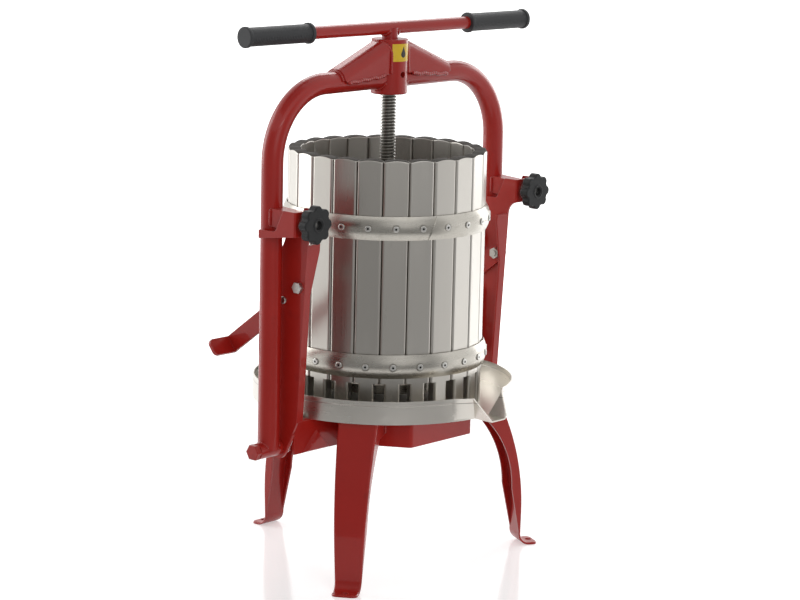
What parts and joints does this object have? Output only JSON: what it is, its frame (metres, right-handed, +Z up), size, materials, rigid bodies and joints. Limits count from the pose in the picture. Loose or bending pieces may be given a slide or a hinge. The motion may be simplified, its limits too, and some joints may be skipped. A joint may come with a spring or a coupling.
{
  "type": "screw fruit press",
  "caption": "Red steel fruit press: a tilting tube arch with a hand-turned screw and plate over a slatted stainless basket in a round tray with a pouring spout, on bowed legs.",
  "frame": {"origin": "on the floor, under the screw's axis", "axes": "+Z up, spout to -Y, posts at -X and +X"},
  "size_m": [0.4884, 0.4075, 0.692],
  "materials": {
    "red_coat": "satin powder coat",
    "stainless": "brushed stainless",
    "zinc": "zinc plated",
    "screw_steel": "oiled steel",
    "black_plastic": "matte",
    "grip_rubber": "matte rubber"
  },
  "bodies": {
    "base": {"base_pan": "red_coat", "leg_front_left": "red_coat", "leg_front_right": "red_coat", "leg_rear": "red_coat", "post_left": "red_coat", "post_right": "red_coat", "stay_left": "red_coat", "stay_right": "red_coat", "stay_bolts": "zinc", "stay_screws": "zinc", "pivot_bolts": "red_coat", "tray_stops": "zinc"},
    "arch": {"arch_tube_left": "red_coat", "arch_tube_right": "red_coat", "pivot_sleeves": "red_coat", "screw_boss": "red_coat", "gusset_left": "red_coat", "gusset_right": "red_coat", "latch_lug_left": "red_coat", "latch_lug_right": "red_coat"},
    "plate": {"press_plate": "stainless", "plate_socket": "stainless"},
    "screw": {"press_screw": "screw_steel", "handle_bar": "red_coat", "grip_left": "grip_rubber", "grip_right": "grip_rubber"},
    "washer_left": {"washer_left": "zinc"},
    "knob_left": {"knob_left": "black_plastic", "stud_left": "zinc"},
    "washer_right": {"washer_right": "zinc"},
    "knob_right": {"knob_right": "black_plastic", "stud_right": "zinc"},
    "tray": {"tray": "stainless"},
    "basket": {"stave_01": "stainless", "stave_02": "stainless", "stave_03": "stainless", "stave_04": "stainless", "stave_05": "stainless", "stave_06": "stainless", "stave_07": "stainless", "stave_08": "stainless", "stave_09": "stainless", "stave_10": "stainless", "stave_11": "stainless", "stave_12": "stainless", "stave_13": "stainless", "stave_14": "stainless", "stave_15": "stainless", "stave_16": "stainless", "stave_17": "stainless", "stave_18": "stainless", "stave_19": "stainless", "stave_20": "stainless", "stave_21": "stainless", "stave_22": "stainless", "stave_23": "stainless", "stave_24": "stainless", "lower_hoop": "stainless", "upper_hoop": "stainless", "hoop_rivets": "stainless"}
  },
  "joints": [
    {"name": "arch_tilt", "type": "hinge", "parent": "base", "child": "arch", "pos_m": [0, 0, 0.172], "axis": [1, 0, 0], "range_deg": [-8, 0]},
    {"name": "screw_travel", "type": "slide", "parent": "arch", "child": "plate", "axis": [0, 0, 1], "range_m": [0, 0.3001]},
    {"name": "screw_turn", "type": "hinge", "parent": "plate", "child": "screw", "pos_m": [0, 0, 0.25], "axis": [0, 0, 1], "range_deg": [0, 27000]},
    {"name": "tray_lift", "type": "slide", "parent": "base", "child": "tray", "axis": [0, 0, 1], "range_m": [0, 0.02]},
    {"name": "basket_lift", "type": "slide", "parent": "tray", "child": "basket", "axis": [0, 0, 1], "range_m": [0, 0.045]},
    {"name": "knob_left_travel", "type": "slide", "parent": "base", "child": "washer_left", "axis": [0, -1, 0], "range_m": [0, 0.01001]},
    {"name": "knob_left_turn", "type": "hinge", "parent": "washer_left", "child": "knob_left", "pos_m": [-0.21, -0.06, 0.46], "axis": [0, -1, 0], "range_deg": [0, 2400]},
    {"name": "knob_right_travel", "type": "slide", "parent": "base", "child": "washer_right", "axis": [0, -1, 0], "range_m": [0, 0.01001]},
    {"name": "knob_right_turn", "type": "hinge", "parent": "washer_right", "child": "knob_right", "pos_m": [0.21, -0.06, 0.46], "axis": [0, -1, 0], "range_deg": [0, 2400]}
  ],
  "couplings": [
    {"joint": "screw_travel", "follows": "screw_turn", "m_per_rad": 0.00063662},
    {"joint": "knob_left_travel", "follows": "knob_left_turn", "m_per_rad": 0.00023873},
    {"joint": "knob_right_travel", "follows": "knob_right_turn", "m_per_rad": 0.00023873}
  ]
}
